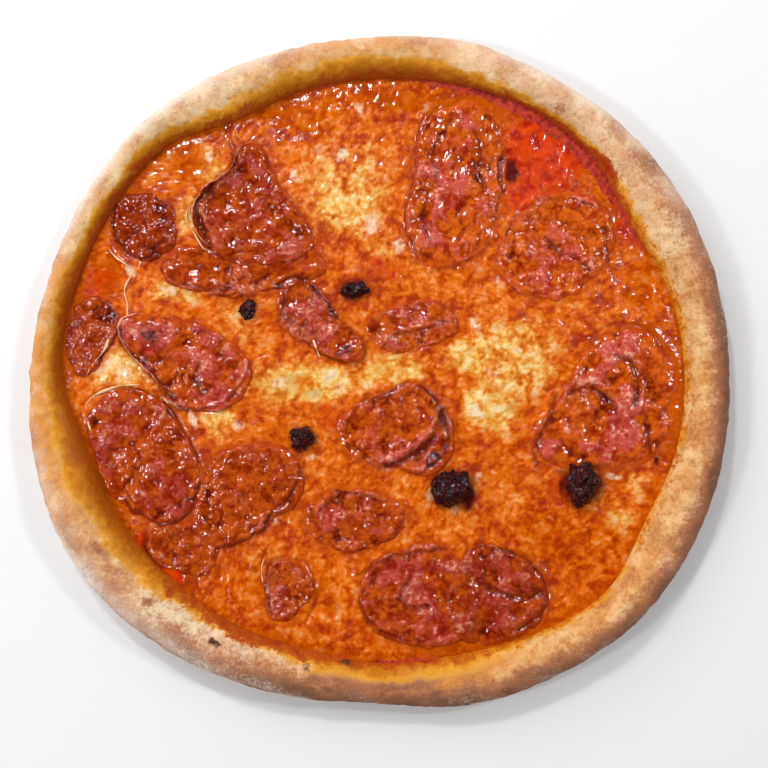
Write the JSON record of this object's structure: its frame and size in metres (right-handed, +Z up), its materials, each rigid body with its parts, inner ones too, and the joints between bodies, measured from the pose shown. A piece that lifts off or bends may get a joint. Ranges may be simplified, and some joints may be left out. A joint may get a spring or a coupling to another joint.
{
  "type": "salami pizza",
  "caption": "Whole round baked pizza with a puffy uneven rim, tomato sauce, melted cheese, thin salami slices and dark sausage lumps; lies flat.",
  "frame": {"origin": "middle of the flat underside, at the bottom centre of the bounding box", "axes": "+Z up through the toppings; +X to the right and +Y away from the diner, +X along the slightly longer side of the uneven round"},
  "size_m": [0.3243, 0.3118, 0.0208],
  "materials": {
    "baked_dough": "floury baked dough, oil-stained on the inner slope, browned in spots",
    "tomato_sauce": "wet tomato sauce",
    "melted_cheese": "melted cheese under orange oil, mottled and glossy",
    "salami": "oily cured sausage with fat marbling",
    "charred_sausage": "dark crumbly soft sausage, charred"
  },
  "bodies": {
    "root": {"crust": "baked_dough", "tomato_sauce": "tomato_sauce", "cheese": "melted_cheese", "salami_top_left_under": "salami", "salami_lower_left_under": "salami", "salami_left_edge": "salami", "salami_far_left_round": "salami", "salami_top_left_folded": "salami", "salami_top_right_long": "salami", "salami_right_upper": "salami", "salami_right_large": "salami", "salami_bottom_left_half": "salami", "salami_bottom_right_half": "salami", "salami_small_wedge": "salami", "salami_lower_middle": "salami", "salami_centre_left": "salami", "salami_centre_narrow": "salami", "salami_centre_charred": "salami", "salami_left_folded": "salami", "salami_left_lower_round": "salami", "salami_lower_left_round": "salami", "sausage_lump_centre": "charred_sausage", "sausage_lump_right": "charred_sausage", "sausage_lump_left": "charred_sausage", "sausage_crumbs_upper": "charred_sausage", "sausage_crumbs_left": "charred_sausage"}
  },
  "joints": []
}
